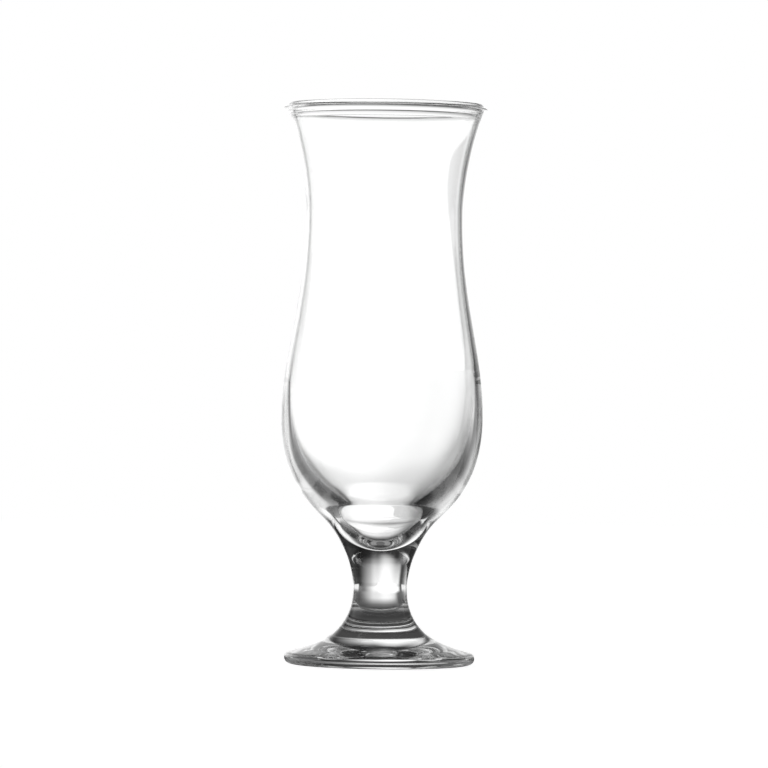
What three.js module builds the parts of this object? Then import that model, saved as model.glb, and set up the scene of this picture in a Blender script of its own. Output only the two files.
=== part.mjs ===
// Stemmed cocktail glass with a flared lip, a drawn-in waist, a round belly and a short thick stem.
// Three pieces of clear glass are fused end to end: a blown bowl, a pressed stem and a pressed foot.
// Units are millimetres, +Z is up, and the origin is the middle of the ring that the foot stands on.

import * as THREE from "three";

// Heights above the table
const TOTAL_HEIGHT = 206;
const WAIST_HEIGHT = 165;
const BELLY_HEIGHT = 90.5;
const SHOULDER_HEIGHT = 53.7; // where the round belly turns into the flare above the stem
const BOWL_WELD_HEIGHT = 39.5;
const STEM_NECK_HEIGHT = 28.5;
const FOOT_WELD_HEIGHT = 20.5;

// Outside diameters
const LIP_DIAMETER = 75;
const WAIST_DIAMETER = 57.4;
const BELLY_DIAMETER = 74.2;
const SHOULDER_DIAMETER = 42.8;
const BOWL_WELD_DIAMETER = 24.6;
const STEM_NECK_DIAMETER = 19.8;
const FOOT_WELD_DIAMETER = 21.8;
const FOOT_DIAMETER = 70;

// Glass thickness
const WAIST_WALL = 0.8;
const BELLY_WALL = 2.9;
const BASE_THICKNESS = 4.3; // from the bottom of the well down to the weld
const FOOT_EDGE_THICKNESS = 4.4;

// The lip in section: a narrow top with a thin edge rolled outwards. Each point is [inset from the widest
// edge, drop below the top], in order from the outside of the wall, over the top, to the inside.
const LIP_SECTION = [
  [1.2, 2.1], // where the wall ends
  [0.5, 2.05], // underside of the edge
  [0, 1.75], // widest point
  [0.5, 1.4], // upper side of the edge
  [1.2, 1], // hollow over the edge
  [1.5, 0.4], // outer side of the top
  [1.9, 0], // top
  [2.3, 0.4], // inner side of the top
  [2.45, 1.8], // inside of the lip
  [3.15, 3.6], // swell under it
  [2.85, 4.2], // where the inside of the wall begins
];

// Inside the bowl the widest point lies above the belly. A round-bottomed well is sunk into the thick
// base, and its heights are measured up from the bottom of the well.
const CAVITY_BELLY_RISE = 11;
const WELL_MOUTH_RISE = 17.7;
const WELL_WALL_RISE = 13;
const WELL_DISH_RISE = 5.2;
const WELL_MOUTH_DIAMETER = 37.4;
const WELL_WALL_DIAMETER = 29.2;
const WELL_DISH_DIAMETER = 18;

// Slopes of the outline: the change of radius for each millimetre of height
const MOUTH_LEAN = 0.39;
const SHOULDER_LEAN = 1.05;
const WELL_MOUTH_LEAN = 1.25;
const WELL_WALL_LEAN = 0.6;
const WELL_DISH_LEAN = 0.85;
const BOWL_WELD_LEAN = 0.41;
const FOOT_WELD_LEAN = 0.32;
const FOOT_TOP_LEAN = 3;

// How far a curve holds its direction at each end before it bends, measured in height
const MOUTH_PULL = 14.5;
const ABOVE_WAIST_PULL = 8;
const BELOW_WAIST_PULL = 32;
const ABOVE_BELLY_PULL = 24;
const BELOW_BELLY_PULL = 23;
const BELOW_CAVITY_WAIST_PULL = 29;
const ABOVE_CAVITY_BELLY_PULL = 15.3;
const BELOW_CAVITY_BELLY_PULL = 22;
const SHOULDER_PULL = 4.2;
const FLARE_PULL = 4.6;
const ABOVE_WELL_MOUTH_PULL = 7.5;
const BELOW_WELL_MOUTH_PULL = 1.1;
const ABOVE_WELL_WALL_PULL = 1;
const BELOW_WELL_WALL_PULL = 2.4;
const ABOVE_WELL_DISH_PULL = 2;
const BELOW_WELL_DISH_PULL = 1.2;
const NECK_PULL = 2.6;
const FOOT_BOSS_PULL = 12.8;
const FOOT_TOP_PULL = 2;

// The underside of the foot: a flat resting ring round a shallow hollow with a rounded edge
const RESTING_RING_INNER_DIAMETER = 54;
const HOLLOW_DIAMETER = 48;
const HOLLOW_DEPTH = 0.7;
const HOLLOW_EDGE_DEPTH = 0.15;

// Facets
const TURN_SEGMENTS = 48;
const CURVE_STEPS = 8;
const ROUND_STEPS = 4;
const LIP_STEPS = 3;
const ARC_STEPS = 9;

// Radii that more than one curve uses
const waistRadius = WAIST_DIAMETER / 2;
const bellyRadius = BELLY_DIAMETER / 2;
const bowlWeldRadius = BOWL_WELD_DIAMETER / 2;
const footWeldRadius = FOOT_WELD_DIAMETER / 2;

const glass = new THREE.MeshStandardMaterial({
  name: "clear_glass",
  color: 0xeef2f1,
  roughness: 0.03,
  metalness: 0,
  transparent: true,
  opacity: 0.35,
});

// A half outline in the plane of radius and height, turned about the axis to make a solid.
class Profile {
  constructor(radius, height) {
    this.points = [new THREE.Vector2(radius, height)];
  }

  line(radius, height) {
    this.points.push(new THREE.Vector2(radius, height));
    return this;
  }

  // A cubic curve that leaves along one step of [radius, height] and arrives along another.
  curve(leaving, arriving, radius, height, steps = CURVE_STEPS) {
    const start = this.points.at(-1);
    const end = new THREE.Vector2(radius, height);
    const cubic = new THREE.CubicBezierCurve(
      start,
      start.clone().add(new THREE.Vector2(...leaving)),
      end.clone().sub(new THREE.Vector2(...arriving)),
      end,
    );
    this.points.push(...cubic.getPoints(steps).slice(1));
    return this;
  }

  // A smooth curve on through more [radius, height] points.
  through(more) {
    const spots = more.map(([radius, height]) => new THREE.Vector2(radius, height));
    const spline = new THREE.SplineCurve([this.points.at(-1), ...spots]);
    this.points.push(...spline.getPoints(more.length * LIP_STEPS).slice(1));
    return this;
  }

  // A round stretch about a centre, between two angles in degrees.
  arc(centreRadius, centreHeight, arcRadius, fromDegrees, toDegrees) {
    for (let i = 0; i <= ARC_STEPS; i++) {
      const degrees = THREE.MathUtils.lerp(fromDegrees, toDegrees, i / ARC_STEPS);
      const angle = THREE.MathUtils.degToRad(degrees);
      this.line(
        centreRadius + arcRadius * Math.cos(angle),
        centreHeight + arcRadius * Math.sin(angle),
      );
    }
    return this;
  }

  solid(name) {
    const geometry = new THREE.LatheGeometry(this.points, TURN_SEGMENTS).rotateX(Math.PI / 2);
    const mesh = new THREE.Mesh(geometry, glass);
    mesh.name = name;
    return mesh;
  }
}

// A step along a slope, upwards for a positive rise and downwards for a negative one
function along(lean, rise) {
  return [lean * rise, rise];
}

// The bowl: up the outside from the weld, over the rolled lip, and down the inside to the well.
function bowl() {
  const [mouth, ...lip] = LIP_SECTION.map(([inset, drop]) => [
    LIP_DIAMETER / 2 - inset,
    TOTAL_HEIGHT - drop,
  ]);
  const wellBottom = BOWL_WELD_HEIGHT + BASE_THICKNESS;
  const dishRadius = WELL_DISH_DIAMETER / 2;
  return new Profile(0, BOWL_WELD_HEIGHT)
    .line(bowlWeldRadius, BOWL_WELD_HEIGHT)
    .curve(
      along(BOWL_WELD_LEAN, FLARE_PULL),
      along(SHOULDER_LEAN, FLARE_PULL),
      SHOULDER_DIAMETER / 2,
      SHOULDER_HEIGHT,
    )
    .curve(along(SHOULDER_LEAN, SHOULDER_PULL), along(0, BELOW_BELLY_PULL), bellyRadius, BELLY_HEIGHT)
    .curve(along(0, ABOVE_BELLY_PULL), along(0, BELOW_WAIST_PULL), waistRadius, WAIST_HEIGHT)
    .curve(along(0, ABOVE_WAIST_PULL), along(MOUTH_LEAN, MOUTH_PULL), ...mouth)
    .through(lip)
    .curve(
      along(MOUTH_LEAN, -MOUTH_PULL),
      along(0, -ABOVE_WAIST_PULL),
      waistRadius - WAIST_WALL,
      WAIST_HEIGHT,
    )
    .curve(
      along(0, -BELOW_CAVITY_WAIST_PULL),
      along(0, -ABOVE_CAVITY_BELLY_PULL),
      bellyRadius - BELLY_WALL,
      BELLY_HEIGHT + CAVITY_BELLY_RISE,
    )
    .curve(
      along(0, -BELOW_CAVITY_BELLY_PULL),
      along(WELL_MOUTH_LEAN, -ABOVE_WELL_MOUTH_PULL),
      WELL_MOUTH_DIAMETER / 2,
      wellBottom + WELL_MOUTH_RISE,
    )
    .curve(
      along(WELL_MOUTH_LEAN, -BELOW_WELL_MOUTH_PULL),
      along(WELL_WALL_LEAN, -ABOVE_WELL_WALL_PULL),
      WELL_WALL_DIAMETER / 2,
      wellBottom + WELL_WALL_RISE,
      ROUND_STEPS,
    )
    .curve(
      along(WELL_WALL_LEAN, -BELOW_WELL_WALL_PULL),
      along(WELL_DISH_LEAN, -ABOVE_WELL_DISH_PULL),
      dishRadius,
      wellBottom + WELL_DISH_RISE,
      ROUND_STEPS,
    )
    .curve(along(WELL_DISH_LEAN, -BELOW_WELL_DISH_PULL), [-dishRadius / 2, 0], 0, wellBottom)
    .solid("bowl");
}

// The stem: a short solid spool between the two welds.
function stem() {
  const neckRadius = STEM_NECK_DIAMETER / 2;
  return new Profile(0, FOOT_WELD_HEIGHT)
    .line(footWeldRadius, FOOT_WELD_HEIGHT)
    .curve(along(-FOOT_WELD_LEAN, NECK_PULL), along(0, NECK_PULL), neckRadius, STEM_NECK_HEIGHT)
    .curve(along(0, NECK_PULL), along(BOWL_WELD_LEAN, NECK_PULL), bowlWeldRadius, BOWL_WELD_HEIGHT)
    .line(0, BOWL_WELD_HEIGHT)
    .solid("stem");
}

// The foot: a boss that sweeps out to a round edge, standing on a flat ring round a shallow hollow.
function foot() {
  const hollowRadius = HOLLOW_DIAMETER / 2;
  const ringInner = RESTING_RING_INNER_DIAMETER / 2;
  const ringRound = ringInner - hollowRadius;
  const edgeRadius = FOOT_EDGE_THICKNESS / 2;
  const edgeCentre = FOOT_DIAMETER / 2 - edgeRadius;
  return new Profile(0, HOLLOW_DEPTH)
    .curve(
      [hollowRadius / 2, 0],
      [hollowRadius / 3, HOLLOW_EDGE_DEPTH - HOLLOW_DEPTH],
      hollowRadius,
      HOLLOW_EDGE_DEPTH,
    )
    .curve([ringRound / 2, -HOLLOW_EDGE_DEPTH], [ringRound / 3, 0], ringInner, 0, ROUND_STEPS)
    .arc(edgeCentre, edgeRadius, edgeRadius, -90, 72)
    .curve(
      along(-FOOT_TOP_LEAN, FOOT_TOP_PULL),
      along(-FOOT_WELD_LEAN, FOOT_BOSS_PULL),
      footWeldRadius,
      FOOT_WELD_HEIGHT,
    )
    .line(0, FOOT_WELD_HEIGHT)
    .solid("foot");
}

const stemmedGlass = new THREE.Group();
stemmedGlass.name = "stemmed_glass";
stemmedGlass.add(bowl(), stem(), foot());

export default stemmedGlass;
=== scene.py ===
# %% [markdown]
# # A stemmed cocktail glass
# The real glass is three lumps of clear soda glass melted together: a blown bowl with a flaring lip,
# a short pressed stem, and a pressed foot. There is no paint, no label and nothing that moves, so the
# whole likeness hangs on two things: true walls, inside as well as outside, and light that a glass
# photographer would set up. The packed model is loaded first, because it fixes every size.

# %% Load the packed model
import math

import bmesh
import bpy
from mathutils import Matrix, Vector
from mathutils.geometry import interpolate_bezier


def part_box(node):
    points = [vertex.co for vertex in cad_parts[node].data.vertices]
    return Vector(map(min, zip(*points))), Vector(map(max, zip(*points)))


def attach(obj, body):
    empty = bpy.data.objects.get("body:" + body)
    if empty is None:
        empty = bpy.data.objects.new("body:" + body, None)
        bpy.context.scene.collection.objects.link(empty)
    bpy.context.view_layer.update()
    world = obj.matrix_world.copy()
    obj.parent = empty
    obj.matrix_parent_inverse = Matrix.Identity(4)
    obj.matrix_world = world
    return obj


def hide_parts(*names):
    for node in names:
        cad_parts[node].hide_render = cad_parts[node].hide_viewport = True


MM = 0.001

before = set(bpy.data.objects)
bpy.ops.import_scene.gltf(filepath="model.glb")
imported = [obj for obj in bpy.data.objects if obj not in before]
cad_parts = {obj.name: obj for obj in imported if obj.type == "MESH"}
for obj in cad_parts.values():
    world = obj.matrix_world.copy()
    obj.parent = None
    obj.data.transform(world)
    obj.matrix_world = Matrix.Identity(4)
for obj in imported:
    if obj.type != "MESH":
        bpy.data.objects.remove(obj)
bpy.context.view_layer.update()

# %% [markdown]
# ## The camera
# The photograph was taken from far off with a long lens, almost level with the middle of the bowl: the
# lip and the foot are seen nearly edge on. A small roll is in the camera because the glass leans by less
# than one degree in the picture.

# %% Set up the camera
CAMERA_PLACE = Vector((0, -1.72, 0.108))
CAMERA_AIM = Vector((0, 0, 0.103))
CAMERA_ROLL = math.radians(0.7)

camera = bpy.data.objects.new("camera", bpy.data.cameras.new("camera"))
bpy.context.scene.collection.objects.link(camera)
camera.data.lens = 219
camera.data.sensor_width = 36
camera.data.shift_x = 0.002
camera.data.clip_end = 50
aim = (CAMERA_AIM - CAMERA_PLACE).to_track_quat("-Z", "Y").to_matrix().to_4x4()
camera.matrix_world = Matrix.Translation(CAMERA_PLACE) @ aim @ Matrix.Rotation(CAMERA_ROLL, 4, "Z")
bpy.context.scene.camera = camera
print("camera distance in m:", round((CAMERA_AIM - CAMERA_PLACE).length, 2))

# %% [markdown]
# ## Drawing and turning an outline
# Each piece is round, so it could be a stack of cylinders, a curve with a bevel, or one outline turned
# about the axis. Turning is how the real mould was cut, and it gives an even mesh, which matters because
# glass shows every kink. The outline is a chain of vertices: straight runs, and smooth runs that leave and
# arrive in a chosen direction. Numbers are in millimetres, as on a workshop drawing.

# %% Make the outline helper
TURN_STEPS = 208
CURVE_STEPS = 28
ARC_STEPS = 27
LIP_STEPS = 10
MERGE_DISTANCE = 1e-7


def along(lean, rise):
    """A step along a slope, where lean is the change of radius for each millimetre of height."""
    return lean * rise, rise


class Outline:
    """Half of a turned shape, drawn in the plane of radius and height."""

    def __init__(self, radius, height):
        self.bm = bmesh.new()
        self.last = self.bm.verts.new(self.point(radius, height))

    @staticmethod
    def point(radius, height):
        return Vector((radius, 0, height)) * MM

    def add(self, place):
        vert = self.bm.verts.new(place)
        self.bm.edges.new((self.last, vert))
        self.last = vert
        return self

    def bend(self, leaving, arriving, end, steps):
        """A cubic run to end, where leaving and arriving are the directions at its two ends."""
        start = self.last.co.copy()
        run = interpolate_bezier(start, start + leaving, end - arriving, end, steps + 1)
        for place in run[1:]:
            self.add(place)
        return self

    def line(self, radius, height):
        return self.add(self.point(radius, height))

    def curve(self, leaving, arriving, radius, height, steps=CURVE_STEPS):
        return self.bend(self.point(*leaving), self.point(*arriving), self.point(radius, height), steps)

    def through(self, spots):
        """A smooth run through more points. It passes each along the line between its neighbours.

        A sixth of that line, on either side of a point, is what makes the cubic runs join evenly.
        """
        places = [self.last.co.copy(), *(self.point(*spot) for spot in spots)]
        for i in range(len(spots)):
            before, after = places[max(i - 1, 0)], places[min(i + 2, len(spots))]
            start, end = places[i], places[i + 1]
            self.bend((end - before) / 6, (after - start) / 6, end, LIP_STEPS)
        return self

    def arc(self, centre_radius, centre_height, arc_radius, from_degrees, to_degrees):
        for i in range(ARC_STEPS + 1):
            angle = math.radians(from_degrees + (to_degrees - from_degrees) * i / ARC_STEPS)
            self.line(
                centre_radius + arc_radius * math.cos(angle),
                centre_height + arc_radius * math.sin(angle),
            )
        return self

    def turn(self, name, weld_heights):
        """Turn the outline into a closed piece. The flat discs at the welds get the second finish."""
        bm = self.bm
        bmesh.ops.spin(
            bm,
            geom=bm.verts[:] + bm.edges[:],
            cent=(0, 0, 0),
            axis=(0, 0, 1),
            angle=math.tau,
            steps=TURN_STEPS,
            use_merge=True,
        )
        bmesh.ops.remove_doubles(bm, verts=bm.verts, dist=MERGE_DISTANCE)
        bmesh.ops.recalc_face_normals(bm, faces=bm.faces)
        for face in bm.faces:
            face.smooth = True
            for height in weld_heights:
                if all(abs(vert.co.z - height * MM) < MERGE_DISTANCE for vert in face.verts):
                    face.material_index = 1
        for edge in bm.edges:
            edge.smooth = len({face.material_index for face in edge.link_faces}) == 1
        mesh = bpy.data.meshes.new(name)
        bm.to_mesh(mesh)
        open_edges = sum(not edge.is_manifold for edge in bm.edges)
        print(name, "faces:", len(bm.faces), "open edges:", open_edges)
        bm.free()
        piece = bpy.data.objects.new(name, mesh)
        bpy.context.scene.collection.objects.link(piece)
        return piece


print("steps round the axis:", TURN_STEPS)

# %% [markdown]
# ## Sizes taken from the packed model
# The welds, the lip and the foot are read from the packed nodes, so the looks stay on the solids. They could
# be typed in again, but then a new pack with another size would leave the looks behind.

# %% Read the sizes
bowl_low, bowl_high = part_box("bowl")
stem_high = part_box("stem")[1]
foot_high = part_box("foot")[1]
total_height = bowl_high.z / MM
lip_radius = bowl_high.x / MM
bowl_weld_height = bowl_low.z / MM
bowl_weld_radius = stem_high.x / MM
foot_weld_height = foot_high.z / MM
foot_radius = foot_high.x / MM
print("welds at", round(foot_weld_height, 2), "and", round(bowl_weld_height, 2), "mm")

# %% [markdown]
# ## The outside of the bowl and its lip
# The bowl was blown into a mould, which gave it the round belly and the narrow waist. The lip is rolled
# outwards while hot: it overhangs the wall, and swells a little on the inside. A plain torus could stand for
# the lip, but its single round would show one line where the photograph has several, so the lip is a section
# of eleven points.

# %% Draw the outside of the bowl
# A lean is a slope, and a pull says over what height a curve holds its direction before it bends.
BOWL_WELD_LEAN, FLARE_PULL = 0.41, 4.6
SHOULDER_RADIUS, SHOULDER_HEIGHT = 21.4, 53.7
SHOULDER_LEAN, SHOULDER_PULL = 1.05, 4.2
BELLY_RADIUS, BELLY_HEIGHT = 37.1, 90.5
BELOW_BELLY_PULL, ABOVE_BELLY_PULL = 23, 24
WAIST_RADIUS, WAIST_HEIGHT = 28.7, 165
BELOW_WAIST_PULL, ABOVE_WAIST_PULL = 32, 8
MOUTH_LEAN, MOUTH_PULL = 0.39, 14.5
# Each point of the lip is (inset from the widest edge, drop below the top).
LIP_OUTSIDE = [(1.2, 2.1), (0.5, 2.05), (0, 1.75), (0.5, 1.4), (1.2, 1), (1.5, 0.4), (1.9, 0)]
LIP_INSIDE = [(2.3, 0.4), (2.45, 1.8), (3.15, 3.6), (2.85, 4.2)]

mouth, *lip = [(lip_radius - inset, total_height - drop) for inset, drop in LIP_OUTSIDE + LIP_INSIDE]
flare_start, flare_end = along(BOWL_WELD_LEAN, FLARE_PULL), along(SHOULDER_LEAN, FLARE_PULL)
bowl_outline = (
    Outline(0, bowl_weld_height)
    .line(bowl_weld_radius, bowl_weld_height)
    .curve(flare_start, flare_end, SHOULDER_RADIUS, SHOULDER_HEIGHT)
    .curve(along(SHOULDER_LEAN, SHOULDER_PULL), along(0, BELOW_BELLY_PULL), BELLY_RADIUS, BELLY_HEIGHT)
    .curve(along(0, ABOVE_BELLY_PULL), along(0, BELOW_WAIST_PULL), WAIST_RADIUS, WAIST_HEIGHT)
    .curve(along(0, ABOVE_WAIST_PULL), along(MOUTH_LEAN, MOUTH_PULL), *mouth)
    .through(lip)
)
print("points on the outside and the lip:", len(bowl_outline.bm.verts))

# %% [markdown]
# ## The inside of the bowl
# The wall is thin at the waist and grows thick towards the base, where a round-bottomed well is sunk into a
# heavy lump of glass. A Solidify modifier would give one even wall. Here the inside is a curve of its own,
# because it is the difference between the two that bends the light into the dark bands low on the bowl.

# %% Draw the inside and turn the bowl
WAIST_WALL, BELLY_WALL, BASE_THICKNESS = 0.8, 2.9, 4.3
BELOW_CAVITY_WAIST_PULL = 29
CAVITY_BELLY_RISE = 11
ABOVE_CAVITY_BELLY_PULL, BELOW_CAVITY_BELLY_PULL = 15.3, 22
# The rises of the well are measured up from its bottom.
WELL_MOUTH_RADIUS, WELL_MOUTH_RISE, WELL_MOUTH_LEAN = 18.7, 17.7, 1.25
ABOVE_WELL_MOUTH_PULL, BELOW_WELL_MOUTH_PULL = 7.5, 1.1
WELL_WALL_RADIUS, WELL_WALL_RISE, WELL_WALL_LEAN = 14.6, 13, 0.6
ABOVE_WELL_WALL_PULL, BELOW_WELL_WALL_PULL = 1, 2.4
WELL_DISH_RADIUS, WELL_DISH_RISE, WELL_DISH_LEAN = 9, 5.2, 0.85
ABOVE_WELL_DISH_PULL, BELOW_WELL_DISH_PULL = 2, 1.2

waist_place = WAIST_RADIUS - WAIST_WALL, WAIST_HEIGHT
belly_place = BELLY_RADIUS - BELLY_WALL, BELLY_HEIGHT + CAVITY_BELLY_RISE
well_bottom = bowl_weld_height + BASE_THICKNESS
mouth_place = WELL_MOUTH_RADIUS, well_bottom + WELL_MOUTH_RISE
wall_place = WELL_WALL_RADIUS, well_bottom + WELL_WALL_RISE
dish_place = WELL_DISH_RADIUS, well_bottom + WELL_DISH_RISE
above_mouth = along(WELL_MOUTH_LEAN, -ABOVE_WELL_MOUTH_PULL)
below_mouth = along(WELL_MOUTH_LEAN, -BELOW_WELL_MOUTH_PULL)
above_wall = along(WELL_WALL_LEAN, -ABOVE_WELL_WALL_PULL)
below_wall = along(WELL_WALL_LEAN, -BELOW_WELL_WALL_PULL)
above_dish = along(WELL_DISH_LEAN, -ABOVE_WELL_DISH_PULL)
below_dish = along(WELL_DISH_LEAN, -BELOW_WELL_DISH_PULL)
bowl = (
    bowl_outline.curve(along(MOUTH_LEAN, -MOUTH_PULL), along(0, -ABOVE_WAIST_PULL), *waist_place)
    .curve(along(0, -BELOW_CAVITY_WAIST_PULL), along(0, -ABOVE_CAVITY_BELLY_PULL), *belly_place)
    .curve(along(0, -BELOW_CAVITY_BELLY_PULL), above_mouth, *mouth_place)
    .curve(below_mouth, above_wall, *wall_place)
    .curve(below_wall, above_dish, *dish_place)
    .curve(below_dish, (-WELL_DISH_RADIUS / 2, 0), 0, well_bottom)
    .turn("bowl_glass", [bowl_weld_height])
)

# %% [markdown]
# ## The stem
# A solid spool, narrowest a little below its middle. It could be part of the bowl's outline, but on the real
# glass it is a lump of its own. It is a thick lens, so the photograph shows the bright backdrop in its
# centre, upside down, between two nearly black sides.

# %% Turn the stem
FOOT_WELD_RADIUS, FOOT_WELD_LEAN = 10.9, 0.32
NECK_RADIUS, NECK_HEIGHT, NECK_PULL = 9.9, 28.5, 2.6

stem = (
    Outline(0, foot_weld_height)
    .line(FOOT_WELD_RADIUS, foot_weld_height)
    .curve(along(-FOOT_WELD_LEAN, NECK_PULL), along(0, NECK_PULL), NECK_RADIUS, NECK_HEIGHT)
    .curve(along(0, NECK_PULL), along(BOWL_WELD_LEAN, NECK_PULL), bowl_weld_radius, bowl_weld_height)
    .line(0, bowl_weld_height)
    .turn("stem_glass", [foot_weld_height, bowl_weld_height])
)

# %% [markdown]
# ## The foot
# A boss that sweeps out to a rounded edge. The underside is hollowed, so the glass stands on a ring and
# does not rock. A bevel on a cone would give nearly this edge, but the outline gives it exactly.

# %% Turn the foot
HOLLOW_RADIUS, HOLLOW_DEPTH, HOLLOW_EDGE_DEPTH = 24, 0.7, 0.15
RING_INNER_RADIUS, RING_STEPS = 27, 10
EDGE_RADIUS, EDGE_START, EDGE_END = 2.2, -90, 72
FOOT_TOP_LEAN, FOOT_TOP_PULL = 3, 2
FOOT_BOSS_PULL, FOOT_TOP_STEPS = 12.8, 40

hollow_slope = HOLLOW_RADIUS / 3, HOLLOW_EDGE_DEPTH - HOLLOW_DEPTH
ring_round = RING_INNER_RADIUS - HOLLOW_RADIUS
foot_top = along(-FOOT_TOP_LEAN, FOOT_TOP_PULL)
foot_boss = along(-FOOT_WELD_LEAN, FOOT_BOSS_PULL)
foot = (
    Outline(0, HOLLOW_DEPTH)
    .curve((HOLLOW_RADIUS / 2, 0), hollow_slope, HOLLOW_RADIUS, HOLLOW_EDGE_DEPTH)
    .curve((ring_round / 2, -HOLLOW_EDGE_DEPTH), (ring_round / 3, 0), RING_INNER_RADIUS, 0, RING_STEPS)
    .arc(foot_radius - EDGE_RADIUS, EDGE_RADIUS, EDGE_RADIUS, EDGE_START, EDGE_END)
    .curve(foot_top, foot_boss, FOOT_WELD_RADIUS, foot_weld_height, FOOT_TOP_STEPS)
    .line(0, foot_weld_height)
    .turn("foot_glass", [foot_weld_height])
)

# %% [markdown]
# ## The glass finish
# Clear glass has almost no colour of its own. What makes it look made and not computed is a trace of
# unevenness: the wall waves slightly where the hot glass flowed, the fire polish is not equally sharp
# everywhere, and the glass is a shade duller in some places. Painted pictures could hold this, but they would
# need a layout on the surface. Noise on Object coordinates runs through the whole body, and it is kept so
# weak that it is only just seen.

# %% Make the glass
# Patches are counted for each metre, so a scale of 45 gives patches about 22 mm across.
WAVE_SCALE, WAVE_DEPTH = 45, 0.06 * MM
POLISH_SCALE, POLISH_ROUGHNESS = 160, 0.012
TINT_SCALE, CLEAREST, DULLEST = 25, (1, 1, 1, 1), (0.986, 0.99, 0.988, 1)
GLASS_IOR = 1.52


def new_finish(name):
    finish = bpy.data.materials.new(name)
    finish.use_nodes = True
    return finish, finish.node_tree.nodes, finish.node_tree.links


clear_glass, nodes, links = new_finish("clear_glass")
shader = nodes["Principled BSDF"]
shader.inputs["Transmission Weight"].default_value = 1.0
shader.inputs["IOR"].default_value = GLASS_IOR
place = nodes.new("ShaderNodeTexCoord").outputs["Object"]


def patches(scale):
    """Soft uneven patches through the whole body of the glass."""
    noise = nodes.new("ShaderNodeTexNoise")
    noise.inputs["Scale"].default_value = scale
    noise.inputs["Detail"].default_value = 1.0
    links.new(place, noise.inputs["Vector"])
    return noise.outputs["Fac"]


tint = nodes.new("ShaderNodeValToRGB")
links.new(patches(TINT_SCALE), tint.inputs["Fac"])
for stop, colour in zip(tint.color_ramp.elements, (CLEAREST, DULLEST)):
    stop.color = colour
links.new(tint.outputs["Color"], shader.inputs["Base Color"])

polish = nodes.new("ShaderNodeMapRange")
links.new(patches(POLISH_SCALE), polish.inputs["Value"])
polish.inputs["To Max"].default_value = POLISH_ROUGHNESS
links.new(polish.outputs["Result"], shader.inputs["Roughness"])

waves = nodes.new("ShaderNodeBump")
waves.inputs["Distance"].default_value = WAVE_DEPTH
links.new(patches(WAVE_SCALE), waves.inputs["Height"])
links.new(waves.outputs["Normal"], shader.inputs["Normal"])
print("glass finish nodes:", len(nodes))

# %% [markdown]
# ## The fused joints
# Where two lumps of glass were melted together there is no surface left to see. The three pieces could be
# joined into one mesh, but they are separate in the packed model. The meshes still need their flat ends, to
# be closed, so those discs let light straight through.

# %% Make the joint finish and dress the pieces
fused_joint, nodes, links = new_finish("fused_joint")
nodes.remove(nodes["Principled BSDF"])
through = nodes.new("ShaderNodeBsdfTransparent")
links.new(through.outputs["BSDF"], nodes["Material Output"].inputs["Surface"])

for piece, node in ((bowl, "bowl"), (stem, "stem"), (foot, "foot")):
    piece.data.materials.append(clear_glass)
    piece.data.materials.append(fused_joint)
    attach(piece, "root")
    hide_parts(node)
print("dressed:", bowl.name, stem.name, foot.name)

# %% [markdown]
# ## Nodes for the studio light
# Glass has hardly any look of its own: it shows what stands around it, bent. So the light is drawn as a
# picture of a small studio, in which every direction has a brightness. Lamps and cards could be modelled as
# objects, but then each would need its own shape and would show in other views. A few nodes that read
# the direction say the same thing. The helper below adds them to a node tree.

# %% Make the helper for light nodes
FRONT_BEARINGS = (95, 115)


class LightDrawing:
    """Adds nodes to one tree, to draw how bright the studio is in each direction."""

    def __init__(self, tree):
        self.nodes, self.links = tree.nodes, tree.links

    def feed(self, value, target):
        """Set a number on a socket, or link a node's output to it."""
        if isinstance(value, (int, float)):
            target.default_value = value
        else:
            self.links.new(value, target)

    def math(self, operation, a, b=0.0):
        node = self.nodes.new("ShaderNodeMath")
        node.operation = operation
        self.feed(a, node.inputs[0])
        self.feed(b, node.inputs[1])
        return node.outputs[0]

    def ramp(self, value, low, high, at_low=0.0, at_high=1.0):
        """One value below low, another above high, and a smooth change between them."""
        node = self.nodes.new("ShaderNodeMapRange")
        node.interpolation_type = "SMOOTHSTEP"
        self.feed(value, node.inputs["Value"])
        sockets = ("From Min", "From Max", "To Min", "To Max")
        for socket, number in zip(sockets, (low, high, at_low, at_high)):
            self.feed(number, node.inputs[socket])
        return node.outputs["Result"]

    def strip(self, value, low, high, soft_low, soft_high):
        """1 between low and high, 0 outside, with an edge of its own softness on either side."""
        rise = self.ramp(value, low - soft_low, low + soft_low)
        fall = self.ramp(value, high - soft_high, high + soft_high, 1.0, 0.0)
        return self.math("MULTIPLY", rise, fall)

    def mixed(self, below, mask, value):
        """What is below where the mask is 0, and the value where it is 1."""
        node = self.nodes.new("ShaderNodeMix")
        self.feed(mask, node.inputs["Factor"])
        self.feed(below, node.inputs["A"])
        self.feed(value, node.inputs["B"])
        return node.outputs["Result"]

    def changing_strip(self, value, first, mask, second):
        """One strip where the mask is 0, and another where it is 1."""
        return self.mixed(self.strip(value, *first), mask, self.strip(value, *second))

    def axes(self, output):
        split = self.nodes.new("ShaderNodeSeparateXYZ")
        self.links.new(self.nodes.new("ShaderNodeTexCoord").outputs[output], split.inputs[0])
        return split.outputs

    def bearing(self, x, y):
        """Degrees to the right of straight behind the glass."""
        return self.math("DEGREES", self.math("ARCTAN2", x, y))

    def reach(self, x, y):
        """Distance from the axis of the glass."""
        squares = self.math("ADD", self.math("MULTIPLY", x, x), self.math("MULTIPLY", y, y))
        return self.math("SQRT", squares)

    def in_front(self, bearing):
        """1 on the camera's side of the glass and 0 behind it."""
        return self.ramp(self.math("ABSOLUTE", bearing), *FRONT_BEARINGS)


print("helpers for light:", [name for name in vars(LightDrawing) if not name.startswith("_")])

# %% [markdown]
# ## The room
# The walls of the studio are pale, the side with the camera is dimmer, and the ceiling is nearly black. On
# the right the dark of the ceiling comes down lower. One grey for the whole room would be simpler, but then
# the parts of the glass that bend the view upwards would have no contrast.

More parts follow.
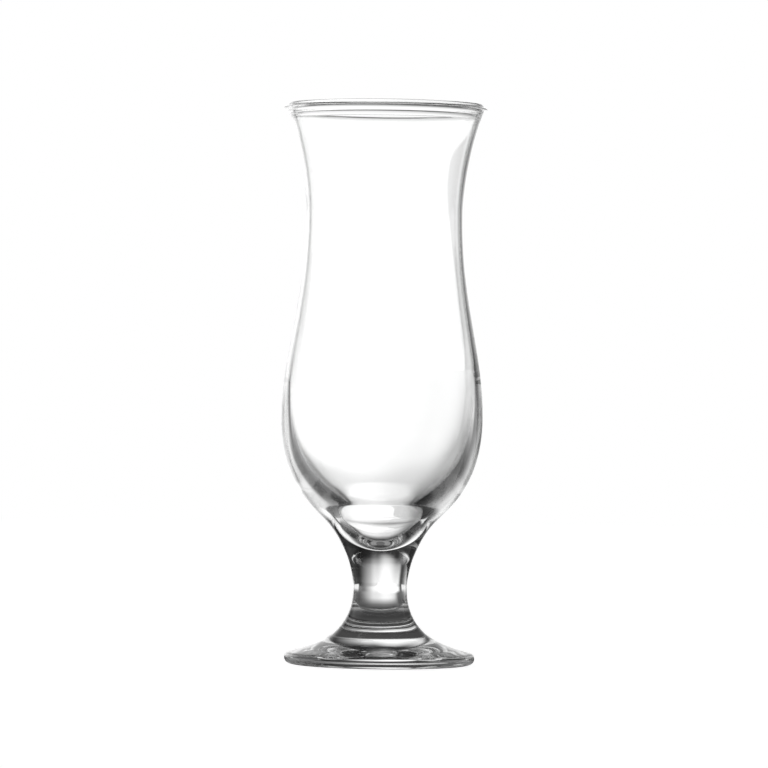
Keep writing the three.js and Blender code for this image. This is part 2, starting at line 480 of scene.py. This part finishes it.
# %% Draw the room
ROOM_LIGHT, FRONT_LIGHT, CEILING_LIGHT = 0.9, 0.45, 0.025
# Each pair is where a change begins and where it ends, in degrees.
CEILING_RISES, RIGHT_CEILING_RISES = (8.5, 47), (8, 30)
RIGHT_BEARINGS = (20, 60)

world = bpy.data.worlds.new("studio")
bpy.context.scene.world = world
world.use_nodes = True
sky = LightDrawing(world.node_tree)
x, y, z = sky.axes("Generated")
bearing = sky.bearing(x, y)
rise = sky.math("DEGREES", sky.math("ARCSINE", z))

on_right = sky.ramp(bearing, *RIGHT_BEARINGS)
ceiling = sky.mixed(sky.ramp(rise, *CEILING_RISES), on_right, sky.ramp(rise, *RIGHT_CEILING_RISES))
room = sky.mixed(ROOM_LIGHT, sky.in_front(bearing), FRONT_LIGHT)
room = sky.mixed(room, ceiling, CEILING_LIGHT)
print("light of the room, its front and its ceiling:", ROOM_LIGHT, FRONT_LIGHT, CEILING_LIGHT)

# %% [markdown]
# ## The dark cards
# A glass photographer hangs a dark card on either side of the glass. The glass squeezes the cards into the
# dark lines that draw its edges and into the nearly black sides of the stem. Level with the glass the cards
# are kept narrow, because wide ones would make the bowl smoky for a camera that stands further round.

# %% Hang the cards
# Each strip is (left edge, right edge, softness of the left edge, softness of the right edge) in degrees.
LEFT_CARD, LEFT_CARD_LOW = (-54, -24, 13.5, 5), (-42, -24, 2, 5)
RIGHT_CARD, RIGHT_CARD_LOW = (10, 67, 5, 2), (10, 41, 5, 2)
LEFT_CARD_LIGHT, RIGHT_CARD_LIGHT = 0.05, 0.006
UPPER_RISES = (4, 6)

upper = sky.ramp(rise, *UPPER_RISES)
left_card = sky.changing_strip(bearing, LEFT_CARD_LOW, upper, LEFT_CARD)
right_card = sky.changing_strip(bearing, RIGHT_CARD_LOW, upper, RIGHT_CARD)
room = sky.mixed(room, left_card, LEFT_CARD_LIGHT)
room = sky.mixed(room, right_card, RIGHT_CARD_LIGHT)
print("card edges next to the panel, in degrees:", LEFT_CARD[1], RIGHT_CARD[0])

# %% [markdown]
# ## The panel behind the glass
# A bright panel with a softer glow round it makes the middle of the glass white. In the photograph the
# panel ends softly on the left. On the right it ends sharply, which gives the grey band along the bowl. Near
# the floor the panel leans to the right, and higher up it is narrower and fades. An area lamp could do this
# in part, but its edges are all alike. The camera itself sees a plain white background.

# %% Set up the panel
PANEL, PANEL_TOP = (-27, 3.4, 5, 0.4), (-17, -1, 8, 6)
PANEL_LEAN, LEAN_RISES = 4, (-1.5, 2.5)
PANEL_LIGHT, HIGH_PANEL_LIGHT, PANEL_RISES = 1.3, 0.35, (4, 38)
SHARE_PAST_PANEL, PANEL_END_RISES = 0.12, (26.4, 34)
GLOW = (-34, 17, 4, 22)
GLOW_LIGHT, HIGH_GLOW_LIGHT, GLOW_RISES = 1.0, 0.03, (3.7, 33.4)
LOW_GLOW_SHARE = 0.83
BACKGROUND_LIGHT = 1.0

glow_fade = sky.ramp(rise, *GLOW_RISES, GLOW_LIGHT, HIGH_GLOW_LIGHT)
glow_light = sky.math("MULTIPLY", glow_fade, sky.ramp(rise, *UPPER_RISES, LOW_GLOW_SHARE, 1.0))
room = sky.mixed(room, sky.strip(bearing, *GLOW), glow_light)

leaning = sky.math("SUBTRACT", bearing, sky.ramp(rise, *LEAN_RISES, PANEL_LEAN, 0))
panel = sky.mixed(sky.strip(leaning, *PANEL), upper, sky.strip(bearing, *PANEL_TOP))
panel_fade = sky.ramp(rise, *PANEL_RISES, PANEL_LIGHT, HIGH_PANEL_LIGHT)
panel_light = sky.math("MULTIPLY", panel_fade, sky.ramp(rise, *PANEL_END_RISES, 1.0, SHARE_PAST_PANEL))
room = sky.mixed(room, panel, panel_light)

seen_by_camera = sky.nodes.new("ShaderNodeLightPath").outputs["Is Camera Ray"]
background = sky.nodes["Background"]
background.inputs["Color"].default_value = (1, 1, 1, 1)
sky.feed(sky.mixed(room, seen_by_camera, BACKGROUND_LIGHT), background.inputs["Strength"])
print("panel from", PANEL[0], "to", PANEL[1], "degrees behind the glass")

# %% [markdown]
# ## The floor
# The glass stands on a sheet of white paper. A plane would do, but a large disc has the same edge from every
# side. It lies a hair below the foot, because two surfaces that lie exactly together let stray light
# through.

# %% Lay the floor
FLOOR_RADIUS = 1.6
FLOOR_CORNERS = 96
FLOOR_DROP = 0.2 * MM

bm = bmesh.new()
bmesh.ops.create_circle(bm, cap_ends=True, radius=FLOOR_RADIUS, segments=FLOOR_CORNERS)
bmesh.ops.translate(bm, verts=bm.verts, vec=(0, 0, -FLOOR_DROP))
floor = bpy.data.objects.new("floor", bpy.data.meshes.new("floor"))
bm.to_mesh(floor.data)
bm.free()
bpy.context.scene.collection.objects.link(floor)
print("floor radius in m:", FLOOR_RADIUS)

# %% [markdown]
# ## What the glass shows of the paper
# The base of the bowl, the stem and the foot bend the view downwards, so they show more of the paper than of
# the panel. The paper takes the light of the panel and the dark of the two cards, and it is drawn with the
# same nodes as the room. Here the place on the paper is read, and not only the direction.

# %% Draw the light on the paper
# Each pair of reaches is where a change begins and where it ends, in metres from the middle of the foot.
FAR_REACHES = (0.4, FLOOR_RADIUS)
NARROW_CARD_REACHES = (0.18, 0.42)
LEFT_CARD_REACHES, NEAR_LEFT_CARD_LIGHT = (0.12, 0.4), 0.15
RIGHT_CARD_REACHES, RIGHT_CARD_LIGHTS = (0.15, 0.3), (0.07, 0.12)
NEAR_GLOW, FAR_GLOW, FAR_GLOW_REACHES = (-24, 20, 8, 18), (-34, 16, 4, 13), (0.2, 0.34)
GLOW_REACHES, GLOW_LIGHTS = (0.2, 0.4), (0.85, 1.05)
NEAR_PANEL_LIGHT = 1.05
FAR_PANEL, FAR_PANEL_REACHES = (-27, 0, 5, 6), (0.2, 0.32)

paper, nodes, links = new_finish("white_paper")
floor.data.materials.append(paper)
ground = LightDrawing(paper.node_tree)
x, y = ground.axes("Object")[:2]
bearing = ground.bearing(x, y)
reach = ground.reach(x, y)
front = ground.in_front(bearing)
far = ground.ramp(reach, *FAR_REACHES)
light = ground.mixed(ROOM_LIGHT, ground.math("MULTIPLY", far, front), FRONT_LIGHT)

narrow = ground.ramp(reach, *NARROW_CARD_REACHES)
left_card = ground.changing_strip(bearing, LEFT_CARD, narrow, LEFT_CARD_LOW)
right_card = ground.changing_strip(bearing, RIGHT_CARD, narrow, RIGHT_CARD_LOW)
left_card_light = ground.ramp(reach, *LEFT_CARD_REACHES, NEAR_LEFT_CARD_LIGHT, LEFT_CARD_LIGHT)
light = ground.mixed(light, left_card, left_card_light)
light = ground.mixed(light, right_card, ground.ramp(reach, *RIGHT_CARD_REACHES, *RIGHT_CARD_LIGHTS))

glow = ground.changing_strip(bearing, NEAR_GLOW, ground.ramp(reach, *FAR_GLOW_REACHES), FAR_GLOW)
light = ground.mixed(light, glow, ground.ramp(reach, *GLOW_REACHES, *GLOW_LIGHTS))
near_panel_light = ground.mixed(NEAR_PANEL_LIGHT, far, PANEL_LIGHT)
light = ground.mixed(light, ground.strip(bearing, *PANEL_TOP), near_panel_light)
far_enough = ground.ramp(reach, *FAR_PANEL_REACHES)
far_panel = ground.math("MULTIPLY", ground.strip(bearing, *FAR_PANEL), far_enough)
light = ground.mixed(light, far_panel, PANEL_LIGHT)
print("nodes for the light on the paper:", len(nodes))

# %% [markdown]
# ## The shade by the foot
# The paper close to the foot is dim, because the foot and the bowl keep the light off it, and under the foot
# it is nearly dark. The renderer could work this out, but light that is bent by glass on its way to the paper
# takes very many samples. So the shade is drawn: behind the glass, at its sides and in front, and as three
# rings under the foot.

# %% Shade the paper
# Each light is how bright the paper is at the near end of its reaches.
SIDE_REACHES, SIDE_LIGHT = (0.03, 0.275), 0.2
BACK_REACHES, BACK_LIGHT = (0.03, 0.145), 0.03
FRONT_REACHES, NEAR_FRONT_LIGHT = (0.038, 0.2), 0.02
MIDDLE_REACHES, MIDDLE_LIGHT = (0.007, 0.01), 0.15
STEM_BEARINGS, STEM_LIGHTS = (25, 60), (0.05, 0.3)
EDGE_REACHES, EDGE_BEARINGS, EDGE_LIGHTS = (0.018, 0.026), (20, 85), (0.07, 0.6)
FRONT_EDGE_LIGHT = 0.12
FOOT_END_REACHES = (0.032, 0.037)

side_shade = ground.ramp(reach, *SIDE_REACHES, SIDE_LIGHT, 1.0)
back_shade = ground.ramp(reach, *BACK_REACHES, BACK_LIGHT, 1.0)
front_shade = ground.ramp(reach, *FRONT_REACHES, NEAR_FRONT_LIGHT, 1.0)
shade = ground.mixed(ground.mixed(side_shade, glow, back_shade), front, front_shade)
light = ground.math("MULTIPLY", light, shade)

side = ground.math("ABSOLUTE", bearing)
under_stem = ground.ramp(side, *STEM_BEARINGS, *STEM_LIGHTS)
under_edge = ground.mixed(ground.ramp(side, *EDGE_BEARINGS, *EDGE_LIGHTS), front, FRONT_EDGE_LIGHT)
under_foot = ground.mixed(under_stem, ground.ramp(reach, *EDGE_REACHES), under_edge)
under_foot = ground.mixed(under_foot, ground.ramp(reach, *MIDDLE_REACHES, 1.0, 0.0), MIDDLE_LIGHT)
light = ground.mixed(light, ground.ramp(reach, *FOOT_END_REACHES, 1.0, 0.0), under_foot)
print("nodes with the shade by the foot:", len(nodes))

# %% [markdown]
# ## What the camera shows of the paper
# To the camera the paper is plain white, and it takes a faint shadow of the glass. A matt white finish alone
# would come out grey beside the white background, so the paper also glows a little by itself.

# %% Finish the paper
PAPER_COLOUR = (0.8, 0.8, 0.8, 1)
PAPER_GLOW = 0.92

light_in_glass = nodes.new("ShaderNodeEmission")
ground.feed(light, light_in_glass.inputs["Strength"])
own_glow = nodes.new("ShaderNodeEmission")
own_glow.inputs["Strength"].default_value = PAPER_GLOW
matt_white = nodes["Principled BSDF"]
matt_white.inputs["Base Color"].default_value = PAPER_COLOUR
matt_white.inputs["Roughness"].default_value = 1.0
matt_white.inputs["Specular IOR Level"].default_value = 0.0
glowing_white = nodes.new("ShaderNodeAddShader")
links.new(matt_white.outputs[0], glowing_white.inputs[0])
links.new(own_glow.outputs[0], glowing_white.inputs[1])
choice = nodes.new("ShaderNodeMixShader")
links.new(nodes.new("ShaderNodeLightPath").outputs["Is Camera Ray"], choice.inputs[0])
links.new(light_in_glass.outputs[0], choice.inputs[1])
links.new(glowing_white.outputs[0], choice.inputs[2])
links.new(choice.outputs[0], nodes["Material Output"].inputs["Surface"])
print("paper finish nodes:", len(nodes))

# %% [markdown]
# ## Depth of the light paths
# A ray of light crosses the walls of the bowl, the base and the foot many times. Blender stops after a dozen
# turns unless it is told to go on, and the thick parts would be black.

# %% Let the light go deep
scene = bpy.context.scene
scene.view_settings.view_transform = "Standard"
scene.cycles.max_bounces = 32
scene.cycles.transmission_bounces = 32
scene.cycles.glossy_bounces = 24
scene.cycles.transparent_max_bounces = 24
print("bounces:", scene.cycles.max_bounces)

# %% [markdown]
